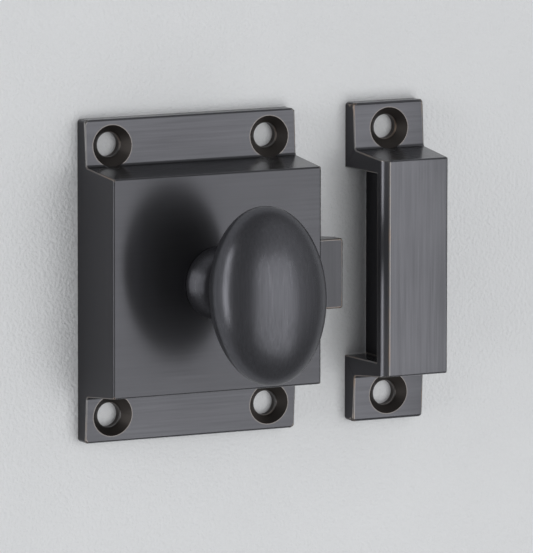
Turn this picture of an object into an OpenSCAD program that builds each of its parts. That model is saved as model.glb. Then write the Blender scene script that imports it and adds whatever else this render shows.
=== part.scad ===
// Surface-mounted cabinet catch with an oval knob, a sprung bolt and a separate strike.
// The back of the case lies on the plane y = 0, with +X right, +Z up and the knob toward -Y.
// Every piece is drawn in front view, with x right, y up and z out of the door, and then stood up.

/* [Case] */
// Width of the case and its screw plate at the door
case_w = 40.6; // [36:0.1:48]
// Height of the screw plate
case_h = 55.8; // [53:0.1:62]
// Depth from the door to the front of the box
case_d = 13.1; // [12.6:0.1:15]
// Thickness of the side, top and bottom walls
case_wall = 2.4; // [1.8:0.1:2.8]
// Thickness of the front wall
case_front = 2.4; // [1.8:0.1:2.8]
// Draft of the case's left and right sides, in degrees
side_draft = 1.4; // [0.5:0.1:2.5]

/* [Shared form of case and strike] */
// Height of the box at its front face
box_h = 37.7; // [36:0.1:38.4]
// Thickness of the screw plate at its outer edge
plate_edge_t = 2.7; // [2.2:0.1:3.2]
// Thickness of the screw plate where it meets the box
plate_root_t = 3.2; // [3:0.1:3.8]
// Draft of the top and bottom walls of the box, in degrees
wall_draft = 5.7; // [0.5:0.1:6.5]
// Fillet between the plate and the box
root_fillet = 0.6; // [0.3:0.1:1.2]
// Rounding of the front edges
edge_round = 0.4; // [0.2:0.05:0.6]
// Rounding of the plate's corners in front view
corner_round = 0.7; // [0.3:0.1:1.2]

/* [Screw holes] */
// Through hole for the mounting screws
hole_d = 4.2; // [3.6:0.1:4.8]
// Diameter of the countersink at the plate's surface
csk_d = 7.35; // [6.6:0.05:7.6]
// Distance of the case's holes from its left and right sides
hole_inset = 5.2; // [4.6:0.1:7]

/* [Strike] */
// Gap between the case and the strike
strike_gap = 11.3; // [8:0.1:16]
// How far the strike stands above the middle of the case
strike_rise = 0.2; // [-0.5:0.1:0.5]
// Width of the strike at the frame that carries it
strike_w = 14; // [12.4:0.1:16]
// Depth from the door to the front of the strike
strike_d = 12.9; // [12.2:0.1:14]
// Draft of the strike's left and right sides, in degrees
strike_draft = 3; // [0.5:0.1:4]
// Thickness of the strike's top and bottom walls
strike_wall = 2.4; // [1.8:0.1:2.8]
// Depth of the pocket that the bolt springs into, from the strike's open left side
pocket_depth = 4.1; // [3:0.1:6]
// Thickness of the strike's front wall
strike_front = 2.3; // [2:0.1:3.3]
// Width of the lead-in chamfer on the strike's front left edge
lead_w = 1.2; // [0.8:0.1:2]
// Depth of the lead-in chamfer
lead_d = 1.3; // [0.8:0.1:1.6]

/* [Bolt] */
// Height of the bolt's head
bolt_h = 12.2; // [10:0.1:13]
// Thickness of the bolt's head from back to front
bolt_t = 7.55; // [6.6:0.05:8]
// How far the bolt sits below the knob's axis
bolt_drop = 0.5; // [0:0.1:0.8]
// How far the nose stands out of the case
bolt_reach = 6.1; // [5.5:0.1:8]
// How far the bolt draws back
bolt_travel = 6; // [5:0.1:6.3]
// Width of the square land that the nose bevel leaves
nose_land = 2.4; // [1.5:0.1:3.5]
// Rounding of the bolt's corners in front view
bolt_round = 0.5; // [0.2:0.1:0.8]
// Thickness of the tail plate
tail_t = 3; // [2.8:0.1:3.4]
// How far the stop lugs stand out above and below the head
lug_h = 1.6; // [1:0.1:2]
// Length of the lower stop lug
lug_l = 3.5; // [2.5:0.1:4.5]
// Width of the abutment that the spring presses on
abutment_w = 2.1; // [1.6:0.1:2.4]
// Height of the abutment above the bolt's back
abutment_t = 5.5; // [5.2:0.1:6.2]

/* [Follower] */
// Radius of the hub
hub_r = 4; // [3.7:0.1:4.2]
// Distance from the knob's axis to the centre of the arm's round tip
arm_len = 9; // [8.8:0.1:9.4]
// Half the width of the arm, and the radius of its tip
arm_r = 1.6; // [1.3:0.05:1.8]

/* [Spindle] */
// Diameter of the journal that turns in the case and is pressed into the knob
journal_d = 6; // [5.8:0.1:6.6]
// Width across the flats of the square
square_w = 4; // [3.4:0.1:4.05]
// Depth that the spindle goes into the knob
socket_depth = 9.5; // [7:0.1:12]

/* [Knob] */
// Radius of the round foot
foot_r = 6.35; // [5.8:0.05:7]
// Radius of the neck at its waist
waist_r = 4.6; // [4.2:0.05:5]
// Distance from the foot to the waist
waist_at = 4.8; // [3.5:0.1:6]
// Distance from the foot to the widest section of the head
rim_at = 18.5; // [17:0.1:22]
// Width of the oval head
head_w = 21; // [18:0.1:25]
// Height of the oval head
head_h = 30.8; // [26:0.1:36]
// Depth of the domed face in front of the widest section
face_dome = 6.4; // [4.5:0.1:8]
// Depth of the rounded back behind the widest section
back_dome = 8; // [6:0.1:9]
// Lean of the head to the left of upright, as it sits on its spindle, in degrees
head_lean = 5; // [0:0.5:10]

/* [Spring] */
// Outside diameter of the coil
spring_d = 5; // [4.8:0.1:5.2]
// Diameter of the wire
wire_d = 0.6; // [0.5:0.05:0.65]
// Number of turns, the closed one at each end included
spring_turns = 7; // [5:1:7]
// Diameter of the spigots that centre the spring
spigot_d = 3; // [2.4:0.1:3.2]
// Length of the spigot on the case's wall
wall_spigot_l = 3.2; // [2:0.1:3.3]
// Length of the spigot on the bolt
bolt_spigot_l = 1.4; // [1:0.1:1.5]

/* [Cover and small fasteners] */
// Thickness of the back cover
cover_t = 1.2; // [1:0.05:1.3]
// Width of the ledge that the cover rests on
ledge_w = 0.9; // [0.6:0.1:1.2]
// Radius of the bosses that take the cover screws
boss_r = 2.2; // [1.9:0.1:2.4]
// Thread diameter of the cover screws
cover_screw_d = 2; // [1.6:0.1:2.2]
// Head diameter of the cover screws
cover_screw_head_d = 3.6; // [3.2:0.1:3.8]
// Length of the cover screws
cover_screw_l = 5.5; // [4:0.1:8]
// Thread diameter of the retaining screw
retainer_d = 2.5; // [2:0.1:2.6]
// Length of the retaining screw under its head
retainer_l = 5; // [4:0.1:6]
// Head diameter of the retaining screw
retainer_head_d = 4.6; // [4:0.1:5]
// Head height of the retaining screw
retainer_head_h = 0.9; // [0.8:0.05:1]
// Outside diameter of the retaining washer
washer_d = 7.4; // [6.6:0.1:7.4]
// Thickness of the retaining washer
washer_t = 0.5; // [0.4:0.05:0.6]
// Width of the screwdriver slots
slot_w = 0.6; // [0.4:0.05:0.7]

/* [Clearances] */
// Radial clearance of the journal in the case
journal_clear = 0.05; // [0.02:0.01:0.08]
// Radial clearance of pieces that are fixed in one another
seat_clear = 0.03; // [0.02:0.01:0.05]
// Clearance of sliding faces
slide_clear = 0.2; // [0.15:0.01:0.25]
// Clearance between pieces that pass one another
pass_clear = 0.4; // [0.3:0.05:0.5]
// Gap under the knob's foot
foot_gap = 0.15; // [0.1:0.01:0.3]
// How far the cover lies behind the case's rim
cover_setback = 0.05; // [0.02:0.01:0.1]

/* [Hidden] */
$fn = 48;
bronze = [0.25, 0.24, 0.25];
steel = [0.62, 0.62, 0.63];

// Overlap of cutting shapes, how far a corner bit spills past its corner,
// and how far its round dips past the sides
cut = 1;
spill = 0.05;
dip = 0.005;

// Inside of the case
in_x = case_w / 2 - case_wall;
in_y = box_h / 2 - case_wall;
in_z = case_d - case_front;
in_round = 1.5;
seat_z = cover_t + cover_setback;
boss_side_gap = 0.8;
boss_end_gap = 0.6;
boss_x = in_x - boss_r - boss_side_gap;
boss_y = in_y - boss_r - boss_end_gap;

// Bolt, as it stands in front view at rest
bolt_back = seat_z + slide_clear;
bolt_front = bolt_back + bolt_t;
tail_top = bolt_back + tail_t;
bolt_low = -bolt_drop - bolt_h / 2;
bolt_high = -bolt_drop + bolt_h / 2;
nose_x = case_w / 2 + bolt_reach;
stop_x = in_x - slide_clear / 2;
head_x = hub_r + pass_clear + bolt_travel;
abutment_right = -hub_r - pass_clear;
abutment_left = abutment_right - abutment_w;
bevel_x = case_w / 2 + slide_clear;

// The arm leads a bolt that moves in step with the angle, by most at turn_lead
turn = asin(bolt_travel / arm_len);
turn_rad = turn * PI / 180;
turn_lead = acos(bolt_travel / (arm_len * turn_rad));
arm_lead = arm_len * sin(turn_lead) - bolt_travel * turn_lead / turn;
push_x = -arm_r - arm_lead - slide_clear / 2;
horn_low = -arm_len - arm_r - pass_clear;

// Softness of the blend from the knob's neck into its head, softer when lower
neck_blend = 2.5;

// Stack on the spindle
washer_z = bolt_back + retainer_head_h;
hub_z = washer_z + washer_t;
hub_top = in_z - slide_clear / 2;
foot_z = case_d + foot_gap;

// Spring
spring_z = bolt_back + abutment_t - spring_d / 2;
spring_y = -bolt_drop;
spring_end_gap = 0.05;

// Screw holes, midway between the front of the box and the plate's edge
hole_x = case_w / 2 - hole_inset;
hole_y = (case_h + box_h) / 4;

// Strike
strike_x = case_w / 2 + strike_gap;
strike_mid = strike_x + strike_w / 2;

// Stands a piece that is drawn in front view up in the part's own frame
module stand_up() {
    rotate([90, 0, 0]) children();
}

// Runs a section drawn with y up and z out of the door along x
module run_along_x(x0, x1) {
    translate([x0, 0, 0]) rotate([90, 0, 90]) linear_extrude(x1 - x0) children();
}

// Runs a section drawn with x right and z out of the door along y
module run_along_y(y0, y1) {
    translate([0, y1, 0]) rotate([90, 0, 0]) linear_extrude(y1 - y0) children();
}

// Runs an outline drawn in front view along z
module run_along_z(z0, z1) {
    translate([0, 0, z0]) linear_extrude(z1 - z0) children();
}

function unit(v) = v / norm(v);

// The bit between a corner and a round of radius r, to take off an outer corner or fill an inner one.
// The round dips past the sides by a hair, so that it crosses them and doesn't just touch them.
module corner_bit(before, corner, after, r) {
    a = unit(before - corner);
    b = unit(after - corner);
    half = acos(a * b) / 2;
    reach = r / tan(half);
    centre = corner + unit(a + b) * r / sin(half);
    difference() {
        polygon([corner - (a + b) * spill, corner + a * reach, centre, corner + b * reach]);
        translate(centre) circle(r + dip);
    }
}

// Rectangle from low to high with round corners
module round_rect(low, high, r) {
    translate([low.x + r, low.y]) square([high.x - low.x - 2 * r, high.y - low.y]);
    translate([low.x, low.y + r]) square([high.x - low.x, high.y - low.y - 2 * r]);
    for (x = [low.x + r, high.x - r], y = [low.y + r, high.y - r]) {
        translate([x, y]) circle(r);
    }
}

// Hat section that case and strike share: wedge-shaped plates and a drafted box
module hat_section(depth) {
    out_y = case_h / 2;
    front_y = box_h / 2;
    root_y = front_y + (depth - plate_root_t) * tan(wall_draft);
    edge = [out_y, plate_edge_t];
    root = [root_y, plate_root_t];
    front = [front_y, depth];
    difference() {
        union() {
            polygon([
                [-out_y, 0], [out_y, 0], edge, root, front,
                [-front_y, depth], [-root_y, plate_root_t], [-out_y, plate_edge_t]
            ]);
            for (side = [0, 1]) {
                mirror([side, 0]) corner_bit(edge, root, front, root_fillet);
            }
        }
        for (side = [0, 1]) {
            mirror([side, 0]) corner_bit([out_y, 0], edge, root, edge_round);
            mirror([side, 0]) corner_bit(root, front, [0, depth], edge_round);
        }
    }
}

// Casting blank of the case or the strike: the hat section, cut to a plan outline,
// with its plate's corners rounded
module hat_blank(x0, x1, depth) {
    intersection() {
        run_along_x(x0 - cut, x1 + cut) hat_section(depth);
        run_along_y(-case_h, case_h) children();
        run_along_z(-cut, depth + cut)
            round_rect([x0 - dip, -case_h / 2], [x1 + dip, case_h / 2], corner_round);
    }
}

// Plan of the case, with x right and z out of the door, drafted sides and its two front edges rounded
module case_plan() {
    slope = tan(side_draft);
    back = [case_w / 2 + cut * slope, -cut];
    front = [case_w / 2 - case_d * slope, case_d];
    difference() {
        polygon([[-back.x, back.y], back, front, [-front.x, front.y]]);
        for (side = [0, 1]) {
            mirror([side, 0]) corner_bit(back, front, [0, case_d], edge_round);
        }
    }
}

// Plan of the strike, with drafted sides, the lead-in chamfer at its left and its right front edge rounded
module strike_plan() {
    slope = tan(strike_draft);
    left_back = [strike_x - cut * slope, -cut];
    lead = [strike_x + (strike_d - lead_d) * slope, strike_d - lead_d];
    front = [lead.x + lead_w, strike_d];
    right = [strike_x + strike_w - strike_d * slope, strike_d];
    right_back = [strike_x + strike_w + cut * slope, -cut];
    difference() {
        polygon([left_back, lead, front, right, right_back]);
        corner_bit(right_back, right, front, edge_round);
    }
}

// Countersunk screw hole through the plate, with the countersink at the plate's surface
module screw_hole(x, y) {
    slope = (plate_root_t - plate_edge_t) / (case_h - box_h) * 2;
    surface = plate_edge_t + slope * (case_h / 2 - abs(y));
    csk_t = (csk_d - hole_d) / 2;
    above = plate_root_t + root_fillet + cut;
    translate([x, y, 0]) rotate_extrude() polygon([
        [0, -cut], [hole_d / 2, -cut], [hole_d / 2, surface - csk_t],
        [csk_d / 2, surface], [csk_d / 2, above], [0, above]
    ]);
}

module at_cover_screws() {
    for (x = [-boss_x, boss_x], y = [-boss_y, boss_y]) {
        translate([x, y, 0]) children();
    }
}

// Outline of the back cover, with a tongue under the bolt, drawn smaller by gap
module cover_outline(gap) {
    half = [in_x + ledge_w - gap, in_y + ledge_w - gap];
    tongue_h = bolt_h + 2 * slide_clear - 2 * gap;
    round_rect(-half, half, in_round);
    translate([0, -bolt_drop - tongue_h / 2]) square([case_w / 2 - gap, tongue_h]);
}

module case() {
    guide_low = bolt_low - slide_clear;
    guide_high = bolt_high + slide_clear;
    guide_t = 1.6;
    color(bronze) stand_up() difference() {
        union() {
            difference() {
                hat_blank(-case_w / 2, case_w / 2, case_d) case_plan();
                run_along_z(-cut, in_z) round_rect([-in_x, -in_y], [in_x, in_y], in_round);
            }
            at_cover_screws() run_along_z(seat_z, in_z + cut) circle(boss_r);
            for (y = [guide_low - guide_t, guide_high]) {
                translate([head_x, y, tail_top + pass_clear])
                    cube([in_x - head_x + cut, guide_t, in_z - tail_top]);
            }
            translate([-in_x - cut, spring_y, spring_z]) rotate([0, 90, 0])
                cylinder(d = spigot_d, h = wall_spigot_l + cut);
        }
        run_along_z(-cut, seat_z) cover_outline(0);
        translate([in_x - cut, guide_low, -cut])
            cube([case_wall + 2 * cut, guide_high - guide_low, bolt_front + slide_clear + cut]);
        translate([0, 0, in_z - cut])
            cylinder(d = journal_d + 2 * journal_clear, h = case_front + 2 * cut);
        at_cover_screws() cylinder(d = cover_screw_d + 2 * seat_clear, h = cover_screw_l + cut);
        for (x = [-hole_x, hole_x], y = [-hole_y, hole_y]) {
            screw_hole(x, y);
        }
    }
}

module back_cover() {
    head_t = (cover_screw_head_d - cover_screw_d) / 2;
    head_hole_d = cover_screw_head_d + 2 * seat_clear;
    screw_hole_d = cover_screw_d + 2 * seat_clear;
    access_d = retainer_head_d + 2 * pass_clear;
    color(steel) stand_up() difference() {
        run_along_z(cover_setback, seat_z) cover_outline(slide_clear / 2);
        translate([0, 0, -cut]) cylinder(d = access_d, h = cover_t + 2 * cut);
        at_cover_screws() {
            cylinder(d = screw_hole_d, h = cover_t + cut);
            translate([0, 0, cover_setback]) cylinder(d1 = head_hole_d, d2 = screw_hole_d, h = head_t);
            cylinder(d = head_hole_d, h = cover_setback);
        }
    }
}

// Countersunk slotted screw with its head at z = 0 and its shank toward +z
module small_csk_screw() {
    head_t = (cover_screw_head_d - cover_screw_d) / 2;
    difference() {
        union() {
            cylinder(d = cover_screw_d, h = cover_screw_l);
            cylinder(d1 = cover_screw_head_d, d2 = cover_screw_d, h = head_t);
        }
        translate([-cover_screw_head_d, -slot_w / 2, -cut])
            cube([2 * cover_screw_head_d, slot_w, cut + head_t / 2]);
    }
}

module cover_screws() {
    color(steel) stand_up() at_cover_screws() translate([0, 0, cover_setback]) small_csk_screw();
}

module spindle() {
    journal_l = foot_z + socket_depth - hub_top;
    color(steel) stand_up() difference() {
        union() {
            translate([0, 0, hub_top]) cylinder(d = journal_d, h = journal_l);
            translate([-square_w / 2, -square_w / 2, hub_z])
                cube([square_w, square_w, hub_top - hub_z + cut]);
        }
        translate([0, 0, hub_z - cut]) cylinder(d = retainer_d + 2 * seat_clear, h = cut + retainer_l);
    }
}

module follower() {
    hole_w = square_w + 2 * seat_clear;
    color(steel) stand_up() difference() {
        union() {
            run_along_z(hub_z, hub_top) circle(hub_r);
            run_along_z(hub_z, tail_top) {
                translate([-arm_r, -arm_len]) square([2 * arm_r, arm_len]);
                translate([0, -arm_len]) circle(arm_r);
            }
        }
        translate([-hole_w / 2, -hole_w / 2, 0]) cube([hole_w, hole_w, in_z]);
    }
}

module retaining_washer() {
    color(steel) stand_up() run_along_z(washer_z, hub_z) difference() {
        circle(d = washer_d);
        circle(d = retainer_d + 2 * seat_clear);
    }
}

module retaining_screw() {
    color(steel) stand_up() difference() {
        union() {
            translate([0, 0, bolt_back]) cylinder(d = retainer_head_d, h = retainer_head_h);
            translate([0, 0, washer_z]) cylinder(d = retainer_d, h = retainer_l);
        }
        translate([-retainer_head_d, -slot_w / 2, bolt_back - cut])
            cube([2 * retainer_head_d, slot_w, cut + retainer_head_h / 2]);
    }
}

// Radius of the round neck at a distance from the foot; it fades out inside the head
function neck_r(t) =
    t < waist_at ? waist_r + (foot_r - waist_r) * (1 + cos(180 * t / waist_at)) / 2
    : t < rim_at - back_dome ? waist_r
    : t < rim_at ? waist_r * (1 + cos(180 * (t - rim_at + back_dome) / back_dome)) / 2
    : 0;

// Share of the head's full width and height at a distance from the foot
function head_share(t) =
    let (u = t < rim_at ? (rim_at - t) / back_dome : (t - rim_at) / face_dome)
    u < 1 ? sqrt(1 - u * u) : 0;

// Half width of the knob in one direction, with the neck blended into the head
function knob_half(t, head_half) =
    pow(pow(neck_r(t), neck_blend) + pow(head_half * head_share(t), neck_blend), 1 / neck_blend);

module knob() {
    sides = 72;
    neck_steps = 18;
    back_steps = 12;
    face_steps = 13;
    back_at = rim_at - back_dome;
    neck_stations = [for (i = [0:neck_steps - 1]) back_at * i / neck_steps];
    back_stations = [for (i = [0:back_steps - 1]) rim_at - back_dome * cos(90 * i / back_steps)];
    face_stations = [for (i = [0:face_steps - 1]) rim_at + face_dome * sin(90 * i / face_steps)];
    stations = concat(neck_stations, back_stations, face_stations);
    rings = len(stations);
    points = concat(
        [for (t = stations, i = [0:sides - 1])
            let (angle = 360 * i / sides)
            [knob_half(t, head_w / 2) * cos(angle), knob_half(t, head_h / 2) * sin(angle), t]],
        [[0, 0, rim_at + face_dome]]
    );
    skin = [for (j = [0:rings - 2], i = [0:sides - 1])
        let (a = j * sides + i, b = j * sides + (i + 1) % sides)
        each [[a, a + sides, b], [b, a + sides, b + sides]]];
    apex = [for (i = [0:sides - 1])
        [(rings - 1) * sides + i, rings * sides, (rings - 1) * sides + (i + 1) % sides]];
    foot = [[for (i = [0:sides - 1]) i]];
    color(bronze) stand_up() translate([0, 0, foot_z]) rotate(head_lean) difference() {
        polyhedron(points, concat(skin, apex, foot));
        translate([0, 0, -cut]) cylinder(d = journal_d + 2 * seat_clear, h = cut + socket_depth);
    }
}

// Tail plate of the bolt: abutment and horn at the left, bar over the hub, stop lugs at the right
module tail_outline() {
    bar_low = hub_r + pass_clear;
    bar_high = bolt_high + lug_h;
    difference() {
        union() {
            translate([abutment_left, horn_low]) square([push_x - abutment_left, bar_high - horn_low]);
            translate([abutment_left, bar_low]) square([stop_x - abutment_left, bar_high - bar_low]);
            translate([head_x, bolt_low]) square([stop_x - head_x, bolt_h]);
            translate([stop_x - lug_l, bolt_low - lug_h]) square([lug_l, bolt_h + 2 * lug_h]);
        }
        circle(hub_r + pass_clear);
    }
}

module latch_bolt() {
    color(bronze) stand_up() {
        run_along_z(bolt_back, tail_top) tail_outline();
        intersection() {
            run_along_y(bolt_low, bolt_high) polygon([
                [head_x, bolt_back], [bevel_x, bolt_back], [nose_x, bolt_front - nose_land],
                [nose_x, bolt_front], [head_x, bolt_front]
            ]);
            run_along_z(0, case_d) round_rect([head_x, bolt_low], [nose_x, bolt_high], bolt_round);
        }
        translate([abutment_left, spring_y - spring_d / 2, bolt_back])
            cube([abutment_w, spring_d, abutment_t]);
        translate([abutment_left - bolt_spigot_l, spring_y, spring_z]) rotate([0, 90, 0])
            cylinder(d = spigot_d, h = bolt_spigot_l + abutment_w / 2);
    }
}

// Distance along the spring after a number of turns, with one closed turn at each end
function spring_rise(turns, pitch) =
    turns < 1 ? turns * wire_d
    : turns < spring_turns - 1 ? wire_d + (turns - 1) * pitch
    : wire_d + (spring_turns - 2) * pitch + (turns - spring_turns + 1) * wire_d;

module bolt_spring() {
    steps = 20;
    sides = 8;
    coil_r = (spring_d - wire_d) / 2;
    length = in_x + abutment_left - 2 * spring_end_gap;
    pitch = (length - 3 * wire_d) / (spring_turns - 2);
    rings = spring_turns * steps + 1;
    points = [for (j = [0:rings - 1], i = [0:sides - 1])
        let (angle = 360 * j / steps, r = coil_r + wire_d / 2 * cos(360 * i / sides))
        [
            spring_rise(j / steps, pitch) + wire_d / 2 + wire_d / 2 * sin(360 * i / sides),
            r * cos(angle),
            r * sin(angle)
        ]];
    skin = [for (j = [0:rings - 2], i = [0:sides - 1])
        let (a = j * sides + i, b = j * sides + (i + 1) % sides)
        each [[a, b, a + sides], [b, b + sides, a + sides]]];
    first = [[for (i = [sides - 1:-1:0]) i]];
    last = [[for (i = [0:sides - 1]) (rings - 1) * sides + i]];
    color(steel) stand_up() translate([spring_end_gap - in_x, spring_y, spring_z])
        polyhedron(points, concat(skin, first, last));
}

module strike() {
    pocket_y = box_h / 2 - strike_wall;
    color(bronze) stand_up() translate([0, strike_rise, 0]) difference() {
        hat_blank(strike_x, strike_x + strike_w, strike_d) strike_plan();
        translate([strike_x - cut, -pocket_y, -cut])
            cube([pocket_depth + cut, 2 * pocket_y, strike_d - strike_front + cut]);
        for (y = [-hole_y, hole_y]) {
            screw_hole(strike_mid, y);
        }
    }
}

case();
back_cover();
cover_screws();
knob();
spindle();
follower();
retaining_washer();
retaining_screw();
latch_bolt();
bolt_spring();
strike();
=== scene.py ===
"""Dresses a cabinet catch in dark brushed bronze: case, oval knob, sprung bolt, strike and inner works."""

import logging
import math
from dataclasses import dataclass, replace
from enum import Enum, IntEnum
from typing import Sequence

import bmesh
import bpy
from mathutils import Matrix, Vector


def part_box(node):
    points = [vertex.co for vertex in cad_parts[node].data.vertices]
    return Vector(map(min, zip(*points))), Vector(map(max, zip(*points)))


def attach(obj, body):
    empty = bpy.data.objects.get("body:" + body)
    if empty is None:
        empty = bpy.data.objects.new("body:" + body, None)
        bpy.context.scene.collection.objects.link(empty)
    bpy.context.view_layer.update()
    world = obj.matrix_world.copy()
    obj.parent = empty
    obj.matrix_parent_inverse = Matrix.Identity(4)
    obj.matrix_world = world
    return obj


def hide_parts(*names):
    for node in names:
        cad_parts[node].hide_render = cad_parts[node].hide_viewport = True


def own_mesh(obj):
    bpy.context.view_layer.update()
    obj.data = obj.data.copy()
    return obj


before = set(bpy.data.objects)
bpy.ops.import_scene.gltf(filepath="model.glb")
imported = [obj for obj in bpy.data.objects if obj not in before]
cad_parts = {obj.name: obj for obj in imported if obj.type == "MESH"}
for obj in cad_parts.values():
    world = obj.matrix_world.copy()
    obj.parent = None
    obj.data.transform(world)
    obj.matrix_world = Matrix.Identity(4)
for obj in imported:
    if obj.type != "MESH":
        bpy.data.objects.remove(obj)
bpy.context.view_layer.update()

MM = 0.001
PHOTO_SIZE = (533, 553)
# The two inputs and the output of a mix node, by what it mixes.
MIX_SOCKETS = {"RGBA": (6, 7, 2), "FLOAT": (2, 3, 0)}
# Rotation of a shader's stretched highlights, as a share of a full turn.
QUARTER_TURN = 0.25
log = logging.getLogger("cabinet_catch")

Colour = tuple[float, float, float]
Point = tuple[float, float, float]
Socket = bpy.types.NodeSocket
Value = Socket | float | Sequence[float]


class Brush(Enum):
    """The way the brushing runs on a casting's front."""

    ACROSS = "across"
    UPRIGHT = "upright"


class Skin(IntEnum):
    """The material slots of an eased piece."""

    FACE = 0
    EDGE = 1
    PLATE = 2


class Shade:
    """A short hand for building one shader node tree."""

    def __init__(self, tree: bpy.types.NodeTree) -> None:
        """Keeps the tree that nodes are added to."""
        self.tree = tree

    def node(self, kind: str, **settings: object) -> bpy.types.Node:
        """Adds a node.

        Args:
            kind: Type name of the node.
            settings: Attributes to set on it.

        Returns:
            The new node.
        """
        made = self.tree.nodes.new(kind)
        for name, value in settings.items():
            setattr(made, name, value)
        return made

    def feed(self, socket: Socket, value: Value) -> None:
        """Links an output to a socket, or sets a plain value on it.

        Args:
            socket: The input to fill.
            value: An output socket, a number, a colour or a vector.
        """
        if isinstance(value, Socket):
            self.tree.links.new(value, socket)
        else:
            socket.default_value = value

    def worked_out(self, kind: str, operation: str, values: Sequence[Value]) -> bpy.types.Node:
        """Adds a node that works something out.

        Args:
            kind: Type name of the node.
            operation: Name of the operation.
            values: Its inputs, in order.

        Returns:
            The node.
        """
        made = self.node(kind, operation=operation)
        for socket, value in zip(made.inputs, values):
            self.feed(socket, value)
        return made

    def math(self, operation: str, *values: Value) -> Socket:
        """Works out a number from numbers."""
        return self.worked_out("ShaderNodeMath", operation, values).outputs["Value"]

    def vector(self, operation: str, *values: Value) -> Socket:
        """Works out a vector from vectors."""
        return self.worked_out("ShaderNodeVectorMath", operation, values).outputs["Vector"]

    def measure(self, operation: str, *values: Value) -> Socket:
        """Works out a number from vectors."""
        return self.worked_out("ShaderNodeVectorMath", operation, values).outputs["Value"]

    def mixed(self, kind: str, factor: Value, low: Value, high: Value) -> Socket:
        """Mixes two colours or two numbers.

        Args:
            kind: RGBA for colours, FLOAT for numbers.
            factor: Share of the second one.
            low: First one.
            high: Second one.

        Returns:
            The mixture.
        """
        made = self.node("ShaderNodeMix", data_type=kind)
        first, second, result = MIX_SOCKETS[kind]
        self.feed(made.inputs["Factor"], factor)
        self.feed(made.inputs[first], low)
        self.feed(made.inputs[second], high)
        return made.outputs[result]

    def mix(self, factor: Value, low: Socket | Colour, high: Socket | Colour) -> Socket:
        """Mixes two colours.

        Args:
            factor: Share of the second colour.
            low: First colour.
            high: Second colour.

        Returns:
            The mixed colour.
        """
        low, high = (tone if isinstance(tone, Socket) else (*tone, 1.0) for tone in (low, high))
        return self.mixed("RGBA", factor, low, high)

    def blend(self, factor: Value, low: Value, high: Value) -> Socket:
        """Mixes two numbers, by the share of the second one."""
        return self.mixed("FLOAT", factor, low, high)

    def spread(self, value: Value, low: float, high: float) -> Socket:
        """Stretches a value so that low becomes 0 and high becomes 1.

        Args:
            value: The value to stretch.
            low: What becomes 0.
            high: What becomes 1.

        Returns:
            The stretched value, between 0 and 1.
        """
        made = self.node("ShaderNodeMapRange", clamp=True)
        self.feed(made.inputs["Value"], value)
        self.feed(made.inputs["From Min"], low)
        self.feed(made.inputs["From Max"], high)
        return made.outputs["Result"]

    def noise(self, vector: Value, scale: float, detail: float) -> Socket:
        """Adds a noise texture.

        Args:
            vector: Where it is read.
            scale: How fine it is, per unit of the vector.
            detail: Number of finer layers.

        Returns:
            The noise, about 0.5 on average.
        """
        made = self.node("ShaderNodeTexNoise")
        self.feed(made.inputs["Vector"], vector)
        self.feed(made.inputs["Scale"], scale)
        self.feed(made.inputs["Detail"], detail)
        return made.outputs["Fac"]

    def axis(self, vector: Value, letter: str) -> Socket:
        """Takes one part of a vector.

        Args:
            vector: The vector.
            letter: X, Y or Z.

        Returns:
            That part.
        """
        made = self.node("ShaderNodeSeparateXYZ")
        self.feed(made.inputs["Vector"], vector)
        return made.outputs[letter]

    def bump(self, height: Value, distance: float, under: Socket | None = None) -> Socket:
        """Tilts the surface by a height.

        Args:
            height: The height.
            distance: How high a height of 1 stands, in metres.
            under: Direction of the surface under it, if it isn't the mesh's own.

        Returns:
            The tilted direction.
        """
        made = self.node("ShaderNodeBump")
        made.inputs["Distance"].default_value = distance
        self.feed(made.inputs["Height"], height)
        if under is not None:
            self.feed(made.inputs["Normal"], under)
        return made.outputs["Normal"]


def new_group(
    name: str, inputs: Sequence[tuple[str, str]], outputs: Sequence[tuple[str, str]],
) -> tuple[bpy.types.NodeTree, bpy.types.Node, bpy.types.Node]:
    """Starts a shader node group.

    Args:
        name: Name of the group.
        inputs: Name and socket type of each input.
        outputs: Name and socket type of each output.

    Returns:
        The group, its input node and its output node.
    """
    group = bpy.data.node_groups.new(name, "ShaderNodeTree")
    for label, kind in inputs:
        group.interface.new_socket(label, in_out="INPUT", socket_type=kind)
    for label, kind in outputs:
        group.interface.new_socket(label, in_out="OUTPUT", socket_type=kind)
    return group, group.nodes.new("NodeGroupInput"), group.nodes.new("NodeGroupOutput")


@dataclass(frozen=True)
class BrushedGrain:
    """Node group of the brush lines: streaks along one way, smudges and a height, read in metres."""

    along: float = 70.0
    across: float = 2600.0
    fine_across: float = 6500.0
    fine_share: float = 0.45
    line_detail: float = 1.5
    smudge: float = 55.0
    smudge_detail: float = 3.0
    least: float = 0.3
    most: float = 0.7

    def build(self) -> bpy.types.NodeTree:
        """Builds the group.

        Returns:
            The node group, with the inputs Position and Upright, and the outputs Streak, Smudge and Height.
        """
        group, given, made = new_group(
            "brushed_grain",
            [("Position", "NodeSocketVector"), ("Upright", "NodeSocketFloat")],
            [(name, "NodeSocketFloat") for name in ("Streak", "Smudge", "Height")],
        )
        shade = Shade(group)
        position = given.outputs["Position"]
        layers = []
        for across in (self.across, self.fine_across):
            flat, tall = (
                shade.noise(shade.vector("MULTIPLY", position, stretch), 1.0, self.line_detail)
                for stretch in ((self.along, across, across), (across, across, self.along)))
            layers.append(shade.blend(given.outputs["Upright"], flat, tall))
        streak = shade.blend(self.fine_share, *layers)
        smudge = shade.noise(position, self.smudge, self.smudge_detail)
        shade.feed(made.inputs["Streak"], shade.spread(streak, self.least, self.most))
        shade.feed(made.inputs["Smudge"], shade.spread(smudge, self.least, self.most))
        shade.feed(made.inputs["Height"], streak)
        return group


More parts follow.
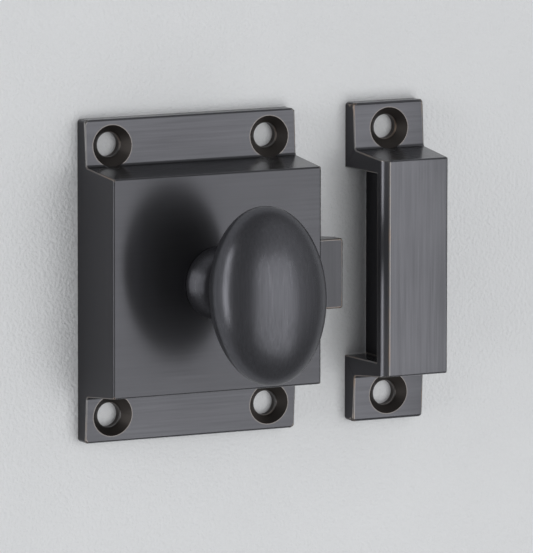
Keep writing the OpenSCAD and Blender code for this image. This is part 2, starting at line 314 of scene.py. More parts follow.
@dataclass(frozen=True)
class ScrewHoles:
    """Node group that finds the countersunk screw holes of a plate and their rims, in metres."""

    cone_r: float = 3.7 * MM
    cone_d: float = 2.95 * MM
    rim_r: float = 3.8 * MM
    fade: float = 0.06 * MM

    def build(self) -> bpy.types.NodeTree:
        """Builds the group.

        Returns:
            The node group, with the inputs Position, Middle and Spread, and the outputs Inside and Rim.
        """
        group, given, made = new_group(
            "screw_holes",
            [(name, "NodeSocketVector") for name in ("Position", "Middle", "Spread")],
            [(name, "NodeSocketFloat") for name in ("Inside", "Rim")],
        )
        shade = Shade(group)
        offset = shade.vector("SUBTRACT", given.outputs["Position"], given.outputs["Middle"])
        from_hole = shade.vector("SUBTRACT", shade.vector("ABSOLUTE", offset), given.outputs["Spread"])
        reach = shade.measure("LENGTH", shade.vector("MULTIPLY", from_hole, (1.0, 0.0, 1.0)))
        # The plates slope, so the cone ends at a smaller radius where its plate is thinner.
        depth = shade.math("ADD", shade.axis(given.outputs["Position"], "Y"), self.cone_d)
        from_rim = shade.math("ADD", reach, shade.math("MAXIMUM", depth, 0.0))
        for label, distance, radius in (("Inside", reach, self.cone_r), ("Rim", from_rim, self.rim_r)):
            shade.feed(made.inputs[label], shade.spread(distance, radius + self.fade, radius - self.fade))
        return group


@dataclass(frozen=True)
class ScrewPattern:
    """Where a plate's countersunk screw holes lie, to either side of a middle."""

    middle: Point
    spread: Point

    def centres(self) -> list[tuple[float, float]]:
        """Places of the holes along X and Z."""
        (x, _, z), (apart_x, _, apart_z) = self.middle, self.spread
        return [(x + right * apart_x, z + up * apart_z) for right in (-1, 1) for up in (-1, 1)]


GRAIN = BrushedGrain().build()
HOLES = ScrewHoles().build()
CASE_HOLES = ScrewPattern((0.0, 0.0, 0.0), (15.1 * MM, 0.0, 23.375 * MM))
STRIKE_HOLES = ScrewPattern((38.6 * MM, 0.0, 0.2 * MM), (0.0, 0.0, 23.375 * MM))


def new_material(name: str) -> tuple[bpy.types.Material, Shade, bpy.types.Node]:
    """Starts a node material.

    Args:
        name: Name of the material.

    Returns:
        The material, a helper for its tree and its surface shader.
    """
    material = bpy.data.materials.new(name)
    material.use_nodes = True
    shade = Shade(material.node_tree)
    return material, shade, material.node_tree.nodes["Principled BSDF"]


def brushing(shade: Shade, position: Socket, way: Brush, smudge_share: float) -> tuple[Socket, Socket]:
    """Places the brush lines in a material.

    Args:
        shade: Helper for the material's tree.
        position: Place on the object.
        way: The way the lines run.
        smudge_share: How far smudges cover the lines.

    Returns:
        How worn the surface is, and the height of the lines.
    """
    grain = shade.node("ShaderNodeGroup", node_tree=GRAIN)
    shade.feed(grain.inputs["Position"], position)
    grain.inputs["Upright"].default_value = float(way is Brush.UPRIGHT)
    worn = shade.blend(smudge_share, grain.outputs["Streak"], grain.outputs["Smudge"])
    return worn, grain.outputs["Height"]


@dataclass(frozen=True)
class BronzeFinish:
    """Dark bronze plate with a satin, brushed surface."""

    name: str
    brush: Brush
    tone: Colour = (0.066, 0.0665, 0.0745)
    light_tone: Colour = (0.109, 0.11, 0.122)
    # Painted shade: darker colours for the sides, by the way they face, and for the countersinks.
    side_shade_tone: Colour = (0.026, 0.025, 0.031)
    hole_shade_tone: Colour = (0.05, 0.043, 0.039)
    # Painted highlight: a light line on the countersinks' rims, in place of the highlight of an eased rim.
    rim_highlight_tone: Colour = (0.17, 0.155, 0.148)
    edge_tint: float = 1.0
    lacquer: float = 0.32
    lacquer_rough: float = 0.55
    smooth: float = 0.2
    rough: float = 0.27
    dull_rough: float = 0.5
    metal: float = 0.76
    drawn_out: float = 0.4
    smudge_share: float = 0.35
    line_depth: float = 2.2e-6
    crown_at: float = 0.0
    crown: float = 0.0
    holes: ScrewPattern | None = None
    side_from: float = 0.8
    side_full: float = 0.95
    front_from: float = 0.85
    front_full: float = 0.95

    def paint_shade_and_rim_light(
        self, shade: Shade, place: bpy.types.Node, colour: Socket, satin: Socket,
    ) -> tuple[Socket, Socket]:
        """Paints shade into the colour of the casting's sides and screw holes, which also get a duller,
        rougher finish, and paints a highlight on the holes' rims.

        Args:
            shade: Helper for the material's tree.
            place: Node that gives the place on the object and the surface's direction.
            colour: Colour of the brushed surface.
            satin: Roughness of the brushed surface.

        Returns:
            The colour and the roughness.
        """
        normal = place.outputs["Normal"]
        # Painted shade on the sides, found by the way they face, and in the countersinks; both are also made
        # rougher.
        side = shade.spread(shade.math("ABSOLUTE", shade.axis(normal, "X")), self.side_from, self.side_full)
        holes = shade.node("ShaderNodeGroup", node_tree=HOLES)
        shade.feed(holes.inputs["Position"], place.outputs["Object"])
        holes.inputs["Middle"].default_value = self.holes.middle
        holes.inputs["Spread"].default_value = self.holes.spread
        depth = shade.axis(normal, "Y")
        slanted = shade.spread(shade.math("ABSOLUTE", depth), self.front_full, self.front_from)
        front = shade.spread(depth, -self.front_from, -self.front_full)
        hole = shade.math("MULTIPLY", holes.outputs["Inside"], slanted)
        # Painted highlight on the countersinks' rims.
        rim = shade.math("MULTIPLY", holes.outputs["Rim"], front)
        for mask, tone in ((side, self.side_shade_tone), (rim, self.rim_highlight_tone), (hole, self.hole_shade_tone)):
            colour = shade.mix(mask, colour, tone)
        return colour, shade.blend(shade.math("MAXIMUM", side, hole), satin, self.dull_rough)

    def buffed(self, shade: Shade, position: Socket) -> Socket:
        """Rolls the flat fronts off a little to the left and right, as buffing does.

        Args:
            shade: Helper for the material's tree.
            position: Place on the object.

        Returns:
            The rolled direction of the surface.
        """
        from_middle = shade.math("SUBTRACT", shade.axis(position, "X"), self.crown_at)
        drop = shade.math("MULTIPLY", shade.math("MULTIPLY", from_middle, from_middle), -self.crown)
        return shade.bump(drop, 1.0)

    def material(self) -> bpy.types.Material:
        """Builds the finish.

        Returns:
            The material.
        """
        material, shade, surface = new_material(self.name)
        place = shade.node("ShaderNodeTexCoord")
        position = place.outputs["Object"]
        worn, lines = brushing(shade, position, self.brush, self.smudge_share)
        colour = shade.mix(worn, self.tone, self.light_tone)
        satin = shade.blend(worn, self.rough, self.smooth)
        if self.holes:
            # Paints shade on the sides and in the holes, and a highlight on the holes' rims.
            colour, satin = self.paint_shade_and_rim_light(shade, place, colour, satin)
        under = self.buffed(shade, position) if self.crown else None
        for name, value in (
            ("Base Color", colour),
            ("Roughness", satin),
            ("Normal", shade.bump(lines, self.line_depth, under)),
            ("Metallic", self.metal),
            ("Specular Tint", (self.edge_tint, self.edge_tint, self.edge_tint, 1.0)),
            ("Coat Weight", self.lacquer),
            ("Coat Roughness", self.lacquer_rough),
            ("Anisotropic", self.drawn_out),
            ("Anisotropic Rotation", 0.0 if self.brush is Brush.UPRIGHT else QUARTER_TURN),
        ):
            shade.feed(surface.inputs[name], value)
        return material


@dataclass(frozen=True)
class RubbedAndHighlitEdge:
    """Eased edges of the plated castings, painted lighter than the faces as a painted highlight, and rubbed
    warmer in patches where the plate is worn.
    """

    name: str = "bronze_edge"
    # Painted highlight: the edges' light tone stands in for the highlights along them; the warm tone is real
    # wear.
    tone: Colour = (0.2, 0.195, 0.195)
    warm: Colour = (0.27, 0.21, 0.17)
    roughness: float = 0.3
    warm_roughness: float = 0.36
    patch: float = 240.0
    patch_detail: float = 3.0
    patch_from: float = 0.45
    patch_full: float = 0.75

    def material(self) -> bpy.types.Material:
        """Builds the finish.

        Returns:
            The material.
        """
        material, shade, surface = new_material(self.name)
        position = shade.node("ShaderNodeTexCoord").outputs["Object"]
        patches = shade.noise(position, self.patch, self.patch_detail)
        rubbed = shade.spread(patches, self.patch_from, self.patch_full)
        shade.feed(surface.inputs["Base Color"], shade.mix(rubbed, self.tone, self.warm))
        shade.feed(surface.inputs["Roughness"], shade.blend(rubbed, self.roughness, self.warm_roughness))
        surface.inputs["Metallic"].default_value = 1.0
        return material


@dataclass(frozen=True)
class SteelFinish:
    """Plated steel of the hidden works, with rolling or turning marks."""

    name: str
    tone: Colour = (0.5, 0.5, 0.51)
    light_tone: Colour = (0.64, 0.64, 0.64)
    smooth: float = 0.24
    rough: float = 0.4
    smudge_share: float = 0.5
    line_depth: float = 1.5e-6

    def material(self) -> bpy.types.Material:
        """Builds the finish.

        Returns:
            The material.
        """
        material, shade, surface = new_material(self.name)
        position = shade.node("ShaderNodeTexCoord").outputs["Object"]
        worn, lines = brushing(shade, position, Brush.UPRIGHT, self.smudge_share)
        shade.feed(surface.inputs["Base Color"], shade.mix(worn, self.tone, self.light_tone))
        shade.feed(surface.inputs["Roughness"], shade.blend(worn, self.smooth, self.rough))
        shade.feed(surface.inputs["Normal"], shade.bump(lines, self.line_depth))
        surface.inputs["Metallic"].default_value = 1.0
        return material


class Finishes:
    """The materials, each made once."""

    def __init__(self) -> None:
        """Builds every finish."""
        # Lit and shaded copies of one bronze: the case's box and plate and the bolt get darker tones than the
        # strike as painted shade, with the box darker than the plate.
        case_box = BronzeFinish(
            "bronze_case_box", Brush.ACROSS, tone=(0.05, 0.0505, 0.0565), light_tone=(0.068, 0.0685, 0.0765),
            smooth=0.17, rough=0.22, drawn_out=0.8, crown=1.2, holes=CASE_HOLES)
        case_plate = replace(
            case_box, name="bronze_case_plate", tone=(0.056, 0.0565, 0.0635), light_tone=(0.09, 0.091, 0.101))
        strike_box = BronzeFinish(
            "bronze_strike_box", Brush.UPRIGHT, crown_at=STRIKE_HOLES.middle[0], crown=4.4,
            holes=STRIKE_HOLES)
        strike_plate = replace(strike_box, name="bronze_strike_plate", brush=Brush.ACROSS)
        bolt = BronzeFinish(
            "bronze_bolt", Brush.UPRIGHT, tone=(0.042, 0.0425, 0.0475), light_tone=(0.056, 0.0565, 0.0625))
        knob = BronzeFinish(
            "bronze_knob", Brush.UPRIGHT, tone=(0.071, 0.0715, 0.08), light_tone=(0.114, 0.115, 0.128),
            edge_tint=0.7, lacquer=0.0, smooth=0.25, rough=0.32, drawn_out=0.0)
        self.case_box = case_box.material()
        self.case_plate = case_plate.material()
        self.strike_box = strike_box.material()
        self.strike_plate = strike_plate.material()
        self.bolt = bolt.material()
        self.knob = knob.material()
        self.edge = RubbedAndHighlitEdge().material()
        self.plate = SteelFinish("steel_plate").material()
        self.screw = SteelFinish("steel_screw", rough=0.34).material()
        self.spring = SteelFinish("spring_wire", tone=(0.42, 0.42, 0.43)).material()


def put_in_scene(
    name: str, skin: bmesh.types.BMesh, materials: Sequence[bpy.types.Material],
) -> bpy.types.Object:
    """Makes an object of a form and links it to the scene.

    Args:
        name: Name of the object and its mesh.
        skin: The form, which is used up.
        materials: Its material slots, in order.

    Returns:
        The object.
    """
    mesh = bpy.data.meshes.new(name)
    skin.to_mesh(mesh)
    skin.free()
    for material in materials:
        mesh.materials.append(material)
    piece = bpy.data.objects.new(name, mesh)
    bpy.context.scene.collection.objects.link(piece)
    return piece


@dataclass
class Piece:
    """One piece of the catch that stands for a solid of the same name."""

    node: str
    body: str
    slot: str

    def seat(self, skin: bmesh.types.BMesh, materials: Sequence[bpy.types.Material]) -> bpy.types.Object:
        """Puts the dressed piece in the solid's stead.

        Args:
            skin: The piece's form.
            materials: Its material slots, in order.

        Returns:
            The dressed piece.
        """
        made = put_in_scene(self.node + "_dressed", skin, materials)
        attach(made, self.body)
        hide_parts(self.node)
        log.info("%s rides on %s", made.name, self.body)
        return made


@dataclass
class EasedPiece(Piece):
    """A machined or cast piece that keeps its solid's form, with every sharp edge eased."""

    ease: float = 0.2 * MM
    corner: float | None = None
    holes: ScrewPattern | None = None
    steps: int = 3
    weld: float = 0.001 * MM
    edge_angle: float = math.radians(33)
    flat_angle: float = math.radians(0.4)
    flat_weight: int = 100
    side_normal: float = 0.9
    door_ease: float = 0.05 * MM
    plate_at: float = 20.2 * MM
    corner_at: float = 27.0 * MM
    rim_r: float = 3.675 * MM
    rim_zone: float = 0.35 * MM
    straight: float = -0.99995

    def form(self) -> bmesh.types.BMesh:
        """Takes the solid's form with its flat faces whole.

        Returns:
            The form, still with sharp edges.
        """
        skin = bmesh.new()
        skin.from_mesh(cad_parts[self.node].data)
        bmesh.ops.remove_doubles(skin, verts=skin.verts, dist=self.weld)
        bmesh.ops.dissolve_limit(
            skin, angle_limit=self.flat_angle, use_dissolve_boundaries=False,
            verts=skin.verts, edges=skin.edges)
        self.straighten(skin)
        sides = [face for face in skin.faces if abs(face.normal.x) > self.side_normal]
        bmesh.ops.connect_verts_concave(skin, faces=sides)
        return skin

    def is_sharp(self, line: bmesh.types.BMEdge) -> bool:
        """Whether the faces at an edge meet at a clear angle."""
        return len(line.link_faces) == 2 and line.calc_face_angle() > self.edge_angle

    def on_rim(self, vert: bmesh.types.BMVert) -> bool:
        """Whether a point lies at the rim of a countersink, which stays crisp."""
        reaches = (math.hypot(vert.co.x - x, vert.co.z - z) for x, z in self.holes.centres())
        return any(abs(reach - self.rim_r) < self.rim_zone for reach in reaches)

    def straighten(self, skin: bmesh.types.BMesh) -> None:
        """Takes points off the straight sharp edges, so that each is eased in one run.

        Args:
            skin: The form to change.
        """
        for vert in list(skin.verts):
            if not vert.is_valid:
                continue
            sharp = [line for line in vert.link_edges if self.is_sharp(line)]
            if len(sharp) != 2:
                continue
            ways = [(line.other_vert(vert).co - vert.co).normalized() for line in sharp]
            if ways[0].dot(ways[1]) < self.straight:
                nearer = min(sharp, key=lambda line: line.calc_length())
                bmesh.ops.weld_verts(skin, targetmap={vert: nearer.other_vert(vert)})

    def easing(self, line: bmesh.types.BMEdge) -> float:
        """How far one sharp edge is eased.

        Args:
            line: The edge.

        Returns:
            The width of the easing: none at a countersink's rim, small where the edge lies on the door, and
            large at a plate's outer corners.
        """
        if self.holes and all(self.on_rim(vert) for vert in line.verts):
            return 0.0
        first, last = (vert.co for vert in line.verts)
        if min(first.y, last.y) > -self.ease:
            return self.door_ease
        upright = max(abs(first.x - last.x), abs(first.z - last.z)) < self.ease
        at_corner = min(abs(first.z), abs(last.z)) > self.corner_at
        return self.corner if self.corner and upright and at_corner else self.ease

    def build(
        self, surface: bpy.types.Material, edge: bpy.types.Material, plate: bpy.types.Material | None = None,
    ) -> bpy.types.Object:
        """Builds the piece with clean flat faces and eased edges.

        Args:
            surface: Finish of the faces.
            edge: Finish of the eased edges.
            plate: Finish of the screw plates above and below the box, if it is another one.

        Returns:
            The piece.
        """
        skin = self.form()
        widest = self.corner or self.ease
        weight = skin.edges.layers.float.new("bevel_weight_edge")
        for line in filter(self.is_sharp, skin.edges):
            line[weight] = self.easing(line) / widest
            line.smooth = line[weight] > 0.0
        for face in skin.faces:
            face.smooth = True
            on_plate = abs(face.calc_center_median().z) > self.plate_at and face.normal.y < self.side_normal
            face.material_index = Skin.PLATE if on_plate else Skin.FACE
        made = self.seat(skin, (surface, edge, plate or surface))
        bevel = made.modifiers.new("eased_edges", "BEVEL")
        bevel.width = widest
        bevel.segments = self.steps
        bevel.limit_method = "WEIGHT"
        bevel.material = Skin.EDGE
        bevel.use_clamp_overlap = False
        bevel.loop_slide = False
        normals = made.modifiers.new("flat_faces", "WEIGHTED_NORMAL")
        normals.weight = self.flat_weight
        normals.keep_sharp = True
        return made


@dataclass
class RoundedStrike(EasedPiece):
    """The strike, whose slanted lead-in for the bolt is worn a little round."""

    node: str = "strike"
    body: str = "fixed"
    slot: str = "bronze_strike"
    slant: float = -0.5
    end_width: float = 0.9 * MM
    bulge: float = 0.09 * MM
    strips: int = 8

    def form(self) -> bmesh.types.BMesh:
        """Takes the solid's form and rounds its lead-in.

        Returns:
            The form, still with sharp edges.
        """
        skin = super().form()
        slanted = [face for face in skin.faces if max(face.normal.x, face.normal.y) < self.slant]
        lead = max(slanted, key=lambda face: face.calc_area())
        outward = lead.normal.copy()
        ends = [line for line in lead.edges if abs(line.verts[0].co.x - line.verts[1].co.x) > self.end_width]
        rows: list[list[bmesh.types.BMVert]] = []
        for line in ends:
            first, last = sorted(line.verts, key=lambda vert: vert.co.x)
            start = first.co.copy()
            span = last.co - start
            row = []
            for i in range(1, self.strips):
                t = i / self.strips
                line, vert = self.cut(line, last)
                vert.co = start + span * t + outward * (4 * self.bulge * t * (1 - t))
                row.append(vert)
            rows.append(row)
        for pair in zip(*rows):
            bmesh.ops.connect_verts(skin, verts=list(pair))
        skin.normal_update()
        return skin

    def cut(
        self, line: bmesh.types.BMEdge, last: bmesh.types.BMVert,
    ) -> tuple[bmesh.types.BMEdge, bmesh.types.BMVert]:
        """Cuts an edge in two, half way along.

        Args:
            line: The edge.
            last: Its end that later cuts lie toward.

        Returns:
            The part of the edge that ends there, and the new point.
        """
        made, vert = bmesh.utils.edge_split(line, last, 0.5)
        return (made if last in made.verts else line), vert


def loft(rings: Sequence[Sequence[Point]]) -> bmesh.types.BMesh:
    """Skins a row of closed rings and closes both ends.

    Args:
        rings: Rings with the same number of points, in order.

    Returns:
        The closed skin.
    """
    skin = bmesh.new()
    rows = [[skin.verts.new(point) for point in ring] for ring in rings]
    for row, after in zip(rows, rows[1:]):
        for i, point in enumerate(row):
            j = (i + 1) % len(row)
            skin.faces.new((point, row[j], after[j], after[i]))
    skin.faces.new(list(reversed(rows[0])))
    skin.faces.new(rows[-1])
    bmesh.ops.recalc_face_normals(skin, faces=skin.faces)
    for face in skin.faces:
        face.smooth = True
    return skin


@dataclass
class OvalKnob(Piece):
    """The knob: round foot, waisted neck and an oval, domed head that leans a little."""

    node: str = "knob"
    body: str = "turning"
    slot: str = "bronze_knob"
    foot_r: float = 6.35 * MM
    foot_ease: float = 0.25 * MM
    waist_r: float = 4.6 * MM
    waist_at: float = 4.8 * MM
    rim_at: float = 18.5 * MM
    head_half_w: float = 10.5 * MM
    head_half_h: float = 15.4 * MM
    face_dome: float = 6.4 * MM
    back_dome: float = 8.0 * MM
    blend_power: float = 2.5
    lean: float = math.radians(5)
    socket_r: float = 3.03 * MM
    socket_depth: float = 9.5 * MM
    sides: int = 192
    foot_rings: int = 6
    neck_rings: int = 60
    back_rings: int = 56
    face_rings: int = 64

    def neck(self, t: float) -> float:
        """Radius of the round neck.

        Args:
            t: Distance from the foot.

        Returns:
            The radius, which fades out inside the head.
        """
        back_at = self.rim_at - self.back_dome
        if t < self.waist_at:
            flare = (1 + math.cos(math.pi * t / self.waist_at)) / 2
            return self.waist_r + (self.foot_r - self.waist_r) * flare
        if t < back_at:
            return self.waist_r
        if t < self.rim_at:
            return self.waist_r * (1 + math.cos(math.pi * (t - back_at) / self.back_dome)) / 2
        return 0.0

    def share(self, t: float) -> float:
        """Share of the head's full size.

        Args:
            t: Distance from the foot.

        Returns:
            The share, from 0 to 1.
        """
        dome = self.back_dome if t < self.rim_at else self.face_dome
        return math.sqrt(max(0.0, 1 - ((t - self.rim_at) / dome) ** 2))

    def half(self, t: float, full: float) -> float:
        """Half the knob's size in one direction.

        Args:
            t: Distance from the foot.
            full: Half the head's size in that direction.

        Returns:
            The half size there.
        """
        power = self.blend_power
        return (self.neck(t) ** power + (full * self.share(t)) ** power) ** (1 / power)

    def stations(self) -> list[float]:
        """Distances of the rings from the foot, closer together where the form turns faster.

        Returns:
            The distances, in order.
        """
        quarter = math.pi / 2
        length = self.rim_at - self.back_dome - self.foot_ease
        neck = [self.foot_ease + length * i / self.neck_rings for i in range(self.neck_rings)]
        back = [self.rim_at - self.back_dome * math.cos(quarter * i / self.back_rings)
                for i in range(self.back_rings)]
        face = [self.rim_at + self.face_dome * math.sin(quarter * i / self.face_rings)
                for i in range(self.face_rings)]
        return neck + back + face

    def ring(self, foot_y: float, t: float, half_w: float, half_h: float) -> list[Point]:
        """One oval ring.

        Args:
            foot_y: Place of the foot along Y.
            t: Distance from the foot.
            half_w: Half its width.
            half_h: Half its height.

        Returns:
            The ring's points.
        """
        cos_lean, sin_lean = math.cos(self.lean), math.sin(self.lean)
        points = []
        for i in range(self.sides):
            angle = 2 * math.pi * i / self.sides
            x, z = half_w * math.cos(angle), half_h * math.sin(angle)
            points.append((x * cos_lean - z * sin_lean, foot_y - t, x * sin_lean + z * cos_lean))
        return points

    def build(self, surface: bpy.types.Material) -> bpy.types.Object:
        """Builds the knob with its socket for the spindle.

        Args:
            surface: Its finish.

        Returns:
            The piece.
        """
        foot_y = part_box(self.node)[1][1]
        rings = [self.ring(foot_y, t, self.socket_r, self.socket_r) for t in (self.socket_depth, 0.0)]
        for i in range(self.foot_rings):
            turn = math.pi / 2 * i / self.foot_rings
            r = self.neck(self.foot_ease) - self.foot_ease * (1 - math.sin(turn))
            rings.append(self.ring(foot_y, self.foot_ease * (1 - math.cos(turn)), r, r))
        for t in self.stations():
            rings.append(self.ring(foot_y, t, self.half(t, self.head_half_w), self.half(t, self.head_half_h)))
        return self.seat(loft(rings), (surface,))


@dataclass
class CoilSpring(Piece):
    """The bolt's compression spring, with a closed turn at each end."""

    node: str = "bolt_spring"
    body: str = "fixed"
    slot: str = "spring_steel"
    wire_d: float = 0.6 * MM
    turns: int = 7
    steps: int = 36
    sides: int = 14
    travel: float = 6.0 * MM

    def rise(self, turn: float, pitch: float) -> float:
        """Distance along the spring.

        Args:
            turn: Number of turns from its left end.
            pitch: Distance between the open turns.

        Returns:
            The distance of the wire's lower side.
        """
        if turn < 1:
            return turn * self.wire_d
        if turn < self.turns - 1:
            return self.wire_d + (turn - 1) * pitch
        return self.wire_d + (self.turns - 2) * pitch + (turn - self.turns + 1) * self.wire_d

    def build(self, surface: bpy.types.Material) -> bpy.types.Object:
        """Builds the coil.

        Args:
            surface: Its finish.

        Returns:
            The piece.
        """
        low, high = (Vector(corner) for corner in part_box(self.node))
        length = high.x - low.x
        middle = (low + high) / 2
        coil_r = (high.z - low.z - self.wire_d) / 2
        # The two closed turns and the wire's own thickness take three wires of the length.
        pitch = (length - 3 * self.wire_d) / (self.turns - 2)
        wire_r = self.wire_d / 2
        rings = []
        for j in range(self.turns * self.steps + 1):
            angle = -2 * math.pi * j / self.steps
            along = low.x + wire_r + self.rise(j / self.steps, pitch)
            ring = []
            for i in range(self.sides):
                round_wire = 2 * math.pi * i / self.sides
                r = coil_r + wire_r * math.cos(round_wire)
                ring.append((
                    along + wire_r * math.sin(round_wire),
                    middle.y + r * math.sin(angle),
                    middle.z + r * math.cos(angle),
                ))
            rings.append(ring)
        made = self.seat(loft(rings), (surface,))
        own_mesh(made)
        return made


@dataclass
class Latch:
    """The latch: case, back cover and its screws, bolt and spring."""

    case_ease: float = 0.22 * MM
    case_corner: float = 0.4 * MM
    bolt_ease: float = 0.3 * MM
    cover_ease: float = 0.1 * MM
    screw_ease: float = 0.06 * MM

    def build(self, finishes: Finishes) -> None:
        """Builds and dresses the latch.

        Args:
            finishes: The materials.
        """
        EasedPiece("case", "fixed", "bronze_case", self.case_ease, self.case_corner, CASE_HOLES).build(
            finishes.case_box, finishes.edge, finishes.case_plate)
        for node, body, slot, ease, surface, edge in (
            ("latch_bolt", "bolt", "bronze_bolt", self.bolt_ease, finishes.bolt, finishes.edge),
            ("back_cover", "fixed", "steel_plate", self.cover_ease, finishes.plate, finishes.plate),
            ("cover_screws", "fixed", "steel_screw", self.screw_ease, finishes.screw, finishes.screw),
        ):
            EasedPiece(node, body, slot, ease).build(surface, edge)
        CoilSpring().build(finishes.spring)


@dataclass
class Turn:
    """What turns with the knob: knob, spindle, follower, washer and retaining screw."""

    small_ease: float = 0.06 * MM

    def build(self, finishes: Finishes) -> None:
        """Builds and dresses the turning pieces.

        Args:
            finishes: The materials.
        """
        OvalKnob().build(finishes.knob)
        for node, slot, finish in (
            ("spindle", "steel_screw", finishes.screw),
            ("follower", "steel_plate", finishes.plate),
            ("retaining_washer", "steel_plate", finishes.plate),
            ("retaining_screw", "steel_screw", finishes.screw),
        ):
            EasedPiece(node, "turning", slot, self.small_ease).build(finish, finish)


@dataclass
class Keeper:
    """The strike that the bolt springs into."""

    ease: float = 0.22 * MM
    corner: float = 0.4 * MM

    def build(self, finishes: Finishes) -> None:
        """Builds and dresses the strike.

        Args:
            finishes: The materials.
        """
        RoundedStrike(ease=self.ease, corner=self.corner, holes=STRIKE_HOLES).build(
            finishes.strike_box, finishes.edge, finishes.strike_plate)


def around(right: float, up: float, distance: float = 1.0) -> Point:
    """A place round the catch.

    Args:
        right: Angle to the right of straight in front, in degrees.
        up: Angle above level, in degrees.
        distance: Distance from the origin.

    Returns:
        The place.
    """
    turn, lift = math.radians(right), math.radians(up)
    return (
        distance * math.sin(turn) * math.cos(lift),
        -distance * math.cos(turn) * math.cos(lift),
        distance * math.sin(lift),
    )


@dataclass(frozen=True)
class WallPaint:
    """Painted wall that is clear from behind and to rays that leave the back of the catch."""

    tone: Colour = (0.895, 0.908, 0.922)
    darkest: float = 0.965
    mottle: float = 40.0
    mottle_detail: float = 4.0
    mottle_from: float = 0.3
    mottle_full: float = 0.7
    roughness: float = 0.85
    gloss: float = 0.2
    grit: float = 1700.0
    grit_detail: float = 2.0
    grit_height: float = 0.21 * MM
    contact: float = 0.25 * MM

    def material(self) -> bpy.types.Material:
        """Builds the finish.

        Returns:
            The material.
        """
        material, shade, surface = new_material("painted_wall")
        place = shade.node("ShaderNodeTexCoord").outputs["Object"]
        clouds = shade.noise(place, self.mottle, self.mottle_detail)
        mottle = shade.spread(clouds, self.mottle_from, self.mottle_full)
        darker = tuple(self.darkest * part for part in self.tone)
        grit = shade.noise(place, self.grit, self.grit_detail)
        shade.feed(surface.inputs["Base Color"], shade.mix(mottle, darker, self.tone))
        shade.feed(surface.inputs["Normal"], shade.bump(grit, self.grit_height))
        surface.inputs["Roughness"].default_value = self.roughness
        surface.inputs["Specular IOR Level"].default_value = self.gloss
        clear = shade.node("ShaderNodeBsdfTransparent")
        pick = shade.node("ShaderNodeMixShader")
        behind = shade.node("ShaderNodeNewGeometry").outputs["Backfacing"]
        near = shade.math("LESS_THAN", shade.node("ShaderNodeLightPath").outputs["Ray Length"], self.contact)
        shade.feed(pick.inputs["Fac"], shade.math("MAXIMUM", behind, near))
        shade.feed(pick.inputs[1], surface.outputs["BSDF"])
        shade.feed(pick.inputs[2], clear.outputs["BSDF"])
        shade.feed(material.node_tree.nodes["Material Output"].inputs["Surface"], pick.outputs["Shader"])
        return material


@dataclass(frozen=True)
class RoomLight:
    """Light of the room: dim in front, brighter behind the wall, and a pale backdrop to the eye."""

    tone: Colour = (0.985, 0.99, 1.0)
    front_dim: float = 0.22
    front_glow: float = 0.45
    glow_right: float = 36.0
    glow_up: float = 15.0
    glow_from: float = 0.6
    back_dim: float = 0.38
    back_from: float = -0.1
    back_full: float = 0.4
    backdrop: float = 0.62

    def build(self) -> None:
        """Sets the world."""
        world = bpy.data.worlds.new("studio")
        bpy.context.scene.world = world
        world.use_nodes = True
        shade = Shade(world.node_tree)
        way = shade.node("ShaderNodeTexCoord").outputs["Generated"]
        toward = shade.measure("DOT_PRODUCT", way, around(self.glow_right, self.glow_up))
        glow = shade.math("MULTIPLY", shade.spread(toward, self.glow_from, 1.0), self.front_glow)
        front = shade.math("ADD", glow, self.front_dim)
        behind = shade.spread(shade.axis(way, "Y"), self.back_from, self.back_full)
        room = shade.blend(behind, front, self.back_dim)
        light = shade.node("ShaderNodeLightPath")
        mirrored = shade.math("MAXIMUM", light.outputs["Is Glossy Ray"], light.outputs["Is Transmission Ray"])
        seen = shade.math("MAXIMUM", light.outputs["Is Camera Ray"], shade.math("MULTIPLY", mirrored, behind))
        backdrop = world.node_tree.nodes["Background"]
        shade.feed(backdrop.inputs["Strength"], shade.blend(seen, room, self.backdrop))
        backdrop.inputs["Color"].default_value = (*self.tone, 1.0)


@dataclass(frozen=True)
class SoftLamp:
    """A soft lamp that faces the catch; its glow is the brightness of its face, where 1 is white."""

    name: str
    right: float
    up: float
    distance: float
    size: tuple[float, float]
    glow: float
    aim: Point = (12.0 * MM, 0.0, 0.0)

    def build(self) -> None:
        """Hangs the lamp."""
        light = bpy.data.lights.new(self.name, "AREA")
        light.shape = "RECTANGLE"
        light.size, light.size_y = self.size
        light.energy = self.glow * math.pi * light.size * light.size_y
        lamp = bpy.data.objects.new(self.name, light)
        place = Vector(around(self.right, self.up, self.distance))
        lamp.location = place
        lamp.rotation_euler = (Vector(self.aim) - place).to_track_quat("-Z", "Y").to_euler()
        lamp.visible_camera = False
        bpy.context.scene.collection.objects.link(lamp)


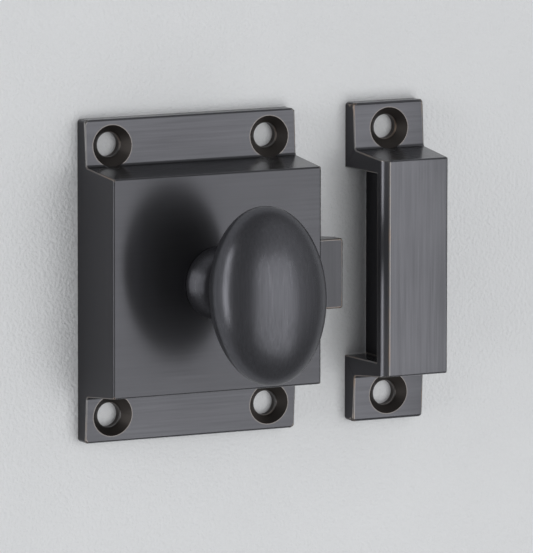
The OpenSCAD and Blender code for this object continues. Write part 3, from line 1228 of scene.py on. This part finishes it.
@dataclass(frozen=True)
class PhotoCamera:
    """The camera, where the photograph was taken from."""

    yaw: float = math.radians(27.63)
    rise: float = math.radians(7.80)
    roll: float = math.radians(0.06)
    aim_right: float = 14.34 * MM
    aim_up: float = -0.52 * MM
    distance: float = 1.4576
    lens_px: float = 8462.8
    sensor: float = 36.0
    farthest: float = 20.0

    def build(self) -> None:
        """Sets the camera up."""
        back = Vector((
            -math.sin(self.yaw) * math.cos(self.rise),
            -math.cos(self.yaw) * math.cos(self.rise),
            math.sin(self.rise),
        ))
        right = Vector((math.cos(self.yaw), -math.sin(self.yaw), 0.0))
        up = back.cross(right)
        tilted_right = right * math.cos(self.roll) + up * math.sin(self.roll)
        tilted_up = up * math.cos(self.roll) - right * math.sin(self.roll)
        data = bpy.data.cameras.new("camera")
        data.sensor_width = self.sensor
        data.lens = self.lens_px * self.sensor / max(PHOTO_SIZE)
        data.clip_end = self.farthest
        camera = bpy.data.objects.new("camera", data)
        camera.location = back * self.distance + tilted_right * self.aim_right + tilted_up * self.aim_up
        camera.rotation_euler = Matrix((tilted_right, tilted_up, back)).transposed().to_euler()
        bpy.context.scene.collection.objects.link(camera)
        bpy.context.scene.camera = camera


@dataclass
class Studio:
    """Pale wall, soft lamps and the camera at the photograph's viewing angle."""

    wall_half: float = 0.4
    wall_y: float = 0.1 * MM
    lamps: tuple[SoftLamp, ...] = (
        SoftLamp("key", 14, -12, 0.9, (0.86, 0.96), 1.45),
        SoftLamp("strip", -77, 2, 0.8, (0.25, 0.8), 3.6),
        SoftLamp("rear", -170, 45, 0.9, (0.8, 0.8), 1.0),
    )

    def build_wall(self) -> None:
        """Builds the wall that the catch is shown on."""
        half = self.wall_half
        skin = bmesh.new()
        corners = ((-half, -half), (half, -half), (half, half), (-half, half))
        skin.faces.new([skin.verts.new((x, self.wall_y, z)) for x, z in corners])
        put_in_scene("wall", skin, (WallPaint().material(),))

    def build(self) -> None:
        """Builds the whole studio."""
        self.build_wall()
        RoomLight().build()
        for lamp in self.lamps:
            lamp.build()
        PhotoCamera().build()
        bpy.context.scene.view_settings.view_transform = "Standard"


def main() -> None:
    """Builds the catch and its studio."""
    logging.basicConfig(level=logging.INFO, format="%(name)s: %(message)s")
    finishes = Finishes()
    Latch().build(finishes)
    Turn().build(finishes)
    Keeper().build(finishes)
    Studio().build()


if __name__ == "__main__":
    main()
